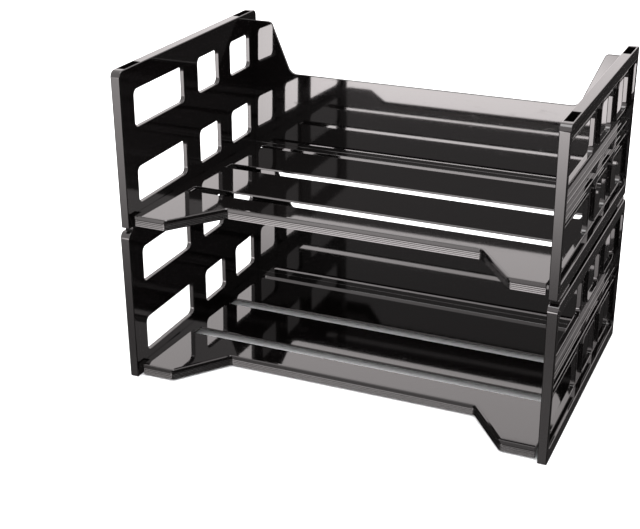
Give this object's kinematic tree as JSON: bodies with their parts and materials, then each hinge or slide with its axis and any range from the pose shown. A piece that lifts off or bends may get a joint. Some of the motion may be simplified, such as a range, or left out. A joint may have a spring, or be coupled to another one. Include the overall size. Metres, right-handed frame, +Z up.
{
  "type": "letter tray",
  "caption": "Stack of side-loading letter trays in glossy black plastic, with windowed side panels, sloping slotted floors, a recessed stepped front lip and a low back wall with raised ears.",
  "frame": {"origin": "middle of the footprint, on the surface that the lower tray stands on", "axes": "+X along the long side to the user's right, +Y towards the back wall, +Z up"},
  "size_m": [0.335, 0.223, 0.2465],
  "materials": {
    "tray_plastic": "high-gloss moulded black",
    "pin_plastic": "glossy moulded black"
  },
  "bodies": {
    "lower_tray": {"lower_base": "tray_plastic", "lower_left_side": "tray_plastic", "lower_right_side": "tray_plastic", "stacking_pin_front_left": "pin_plastic", "stacking_pin_front_right": "pin_plastic", "stacking_pin_rear_left": "pin_plastic", "stacking_pin_rear_right": "pin_plastic"},
    "upper_tray": {"upper_base": "tray_plastic", "upper_left_side": "tray_plastic", "upper_right_side": "tray_plastic"}
  },
  "joints": [
    {"name": "tray_lift", "type": "slide", "parent": "lower_tray", "child": "upper_tray", "axis": [0, 0, 1], "range_m": [0, 0.06]}
  ]
}
